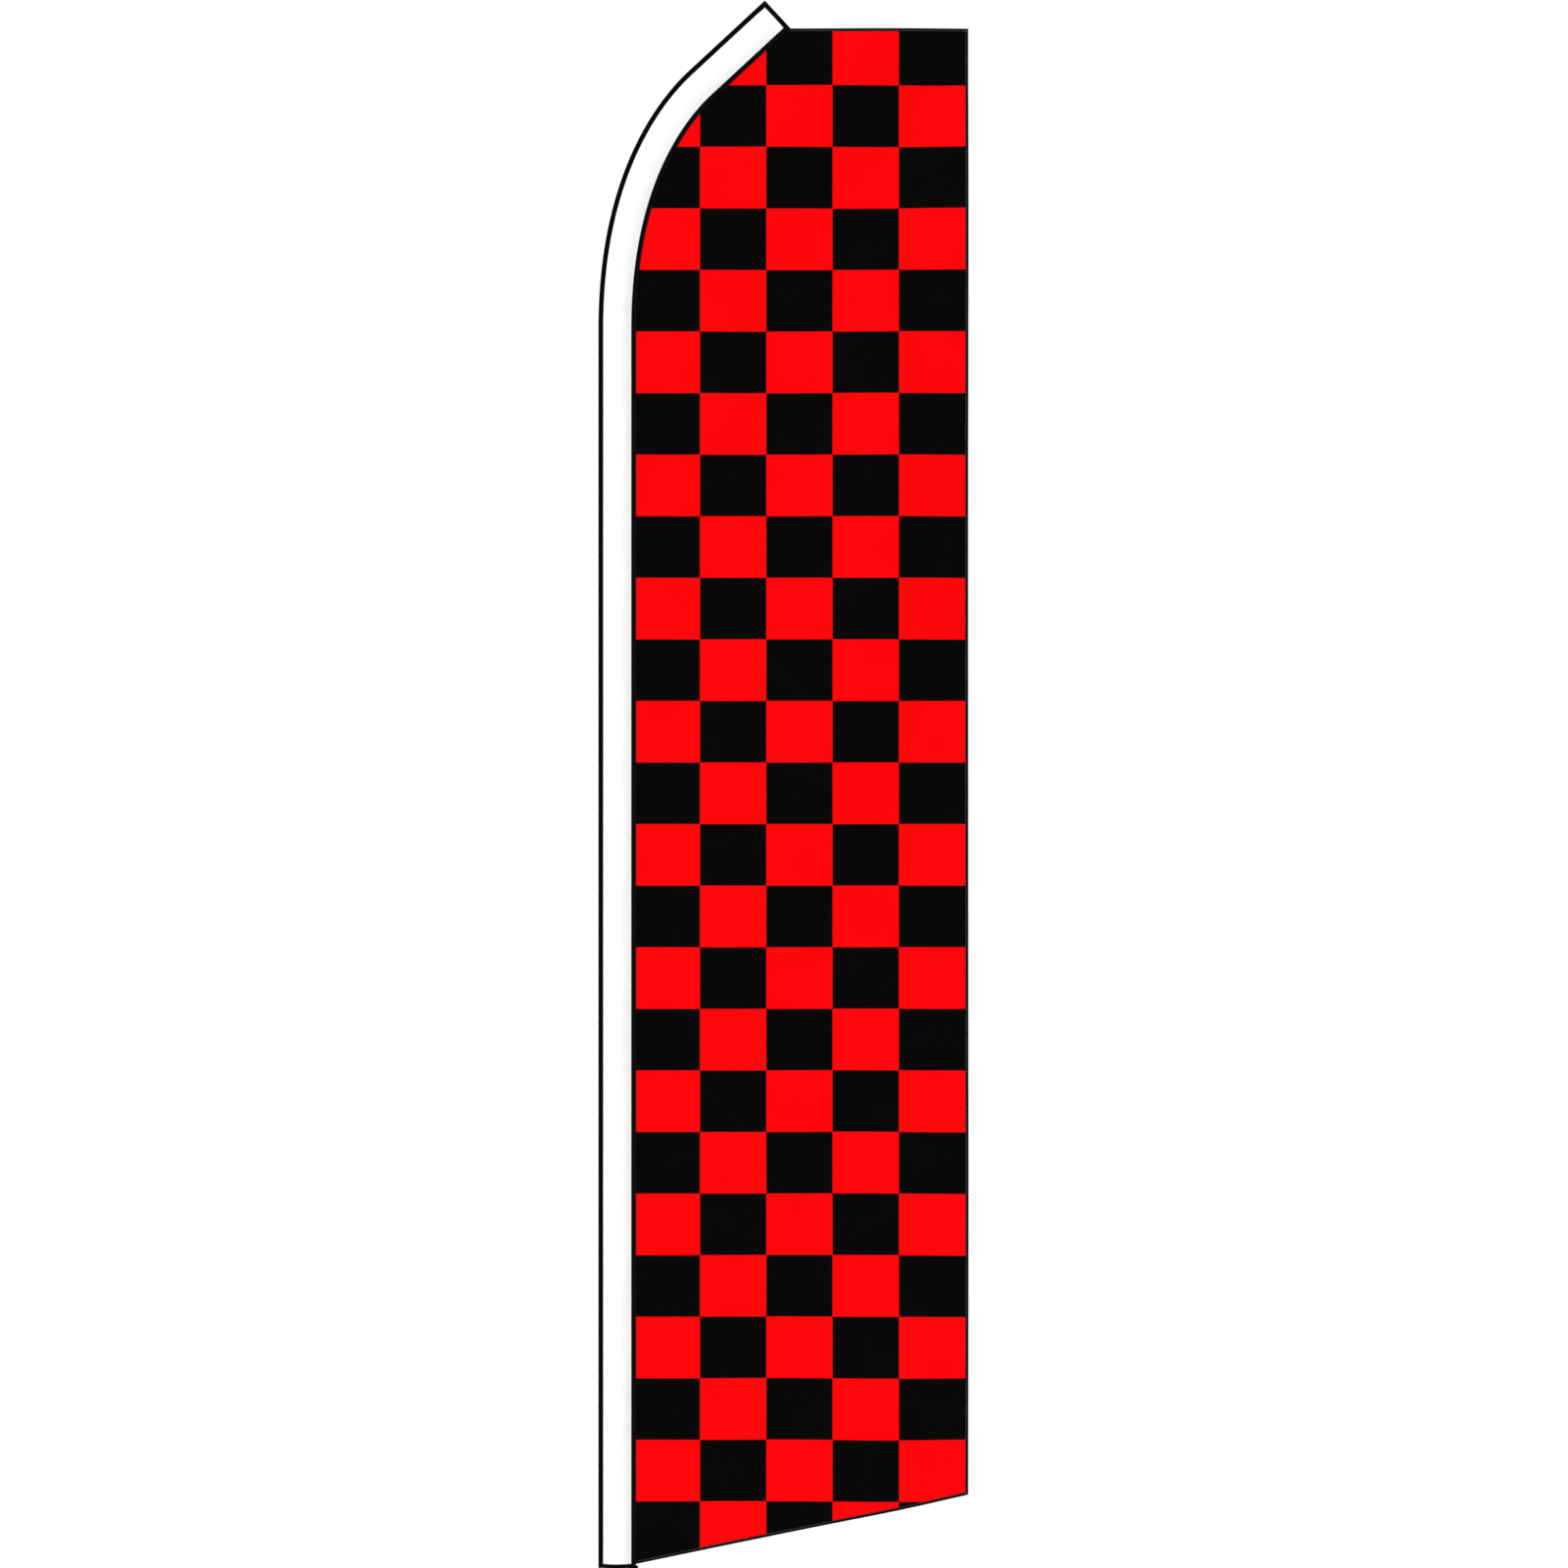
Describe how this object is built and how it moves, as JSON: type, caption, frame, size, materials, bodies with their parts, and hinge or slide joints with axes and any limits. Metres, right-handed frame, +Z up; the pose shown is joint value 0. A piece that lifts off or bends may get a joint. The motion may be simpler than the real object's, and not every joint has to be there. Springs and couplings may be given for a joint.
{
  "type": "feather flag with pole",
  "caption": "Tall red and black chequered feather flag on a curved-top sectional pole that turns on a ground spike.",
  "frame": {"origin": "on the pole's axis at ground level, which is the underside of the step plate", "axes": "+Z up along the pole, +X from the pole towards the flag's fly edge, -Y is the printed front"},
  "size_m": [0.8597, 0.0511, 4.9784],
  "materials": {
    "zinc_plated_steel": "zinc plated",
    "bearing_steel": "ground and polished",
    "aluminium_tube": "drawn, clear anodised",
    "fibreglass_rod": "glass fibre in black resin",
    "black_nylon": "moulded",
    "black_rubber": "moulded",
    "brass": "plain",
    "white_sleeve_fabric": "woven polyester",
    "canvas_patch": "heavy woven canvas",
    "printed_red_fabric": "knitted polyester, printed in red and black squares",
    "black_binding_tape": "woven tape, stitched"
  },
  "bodies": {
    "ground_spike": {"spike_bar": "zinc_plated_steel", "step_plate": "zinc_plated_steel", "fin_right": "zinc_plated_steel", "fin_left": "zinc_plated_steel", "spacer_bush": "bearing_steel", "lower_bearing_inner": "bearing_steel", "lower_ball_cage": "bearing_steel", "upper_bearing_inner": "bearing_steel", "upper_ball_cage": "bearing_steel", "axle_washer": "zinc_plated_steel", "axle_nut": "zinc_plated_steel"},
    "spindle": {"spindle_barrel": "zinc_plated_steel", "lower_bearing_outer": "bearing_steel", "upper_bearing_outer": "bearing_steel", "lower_grip_ring": "black_rubber", "upper_grip_ring": "black_rubber", "wear_washer": "black_nylon"},
    "pole_base": {"base_tube": "aluminium_tube", "foot_ring": "black_nylon"},
    "pole_lower_mid": {"lower_mid_tube": "aluminium_tube", "lower_stop_ring": "black_nylon"},
    "pole_upper_mid": {"upper_mid_tube": "aluminium_tube", "upper_stop_ring": "black_nylon"},
    "tip_and_flag": {"tip_rod": "fibreglass_rod", "tip_ferrule": "aluminium_tube", "tip_cap": "black_rubber", "pole_sleeve": "white_sleeve_fabric", "sleeve_mouth_binding": "black_binding_tape", "tip_pocket_patch": "canvas_patch", "sleeve_edge_binding": "black_binding_tape", "sleeve_seam_binding": "black_binding_tape", "sleeve_tip_binding": "black_binding_tape", "flag_panel": "printed_red_fabric", "top_hem": "black_binding_tape", "bottom_hem": "black_binding_tape", "fly_hem": "black_binding_tape", "hem_tab": "black_binding_tape", "tension_strap": "black_rubber", "tab_rivet": "brass", "tension_collar": "black_nylon", "collar_screw": "zinc_plated_steel", "collar_nut": "zinc_plated_steel"}
  },
  "joints": [
    {"name": "swivel", "type": "hinge", "parent": "ground_spike", "child": "spindle", "pos_m": [0, 0, 0], "axis": [0, 0, 1], "continuous": true},
    {"name": "pole_lift", "type": "slide", "parent": "spindle", "child": "pole_base", "axis": [0, 0, 1], "range_m": [0, 0.19]},
    {"name": "lower_joint", "type": "slide", "parent": "pole_base", "child": "pole_lower_mid", "axis": [0, 0, 1], "range_m": [0, 0.1]},
    {"name": "middle_joint", "type": "slide", "parent": "pole_lower_mid", "child": "pole_upper_mid", "axis": [0, 0, 1], "range_m": [0, 0.1]},
    {"name": "tip_joint", "type": "slide", "parent": "pole_upper_mid", "child": "tip_and_flag", "axis": [0, 0, 1], "range_m": [0, 0.1]}
  ]
}
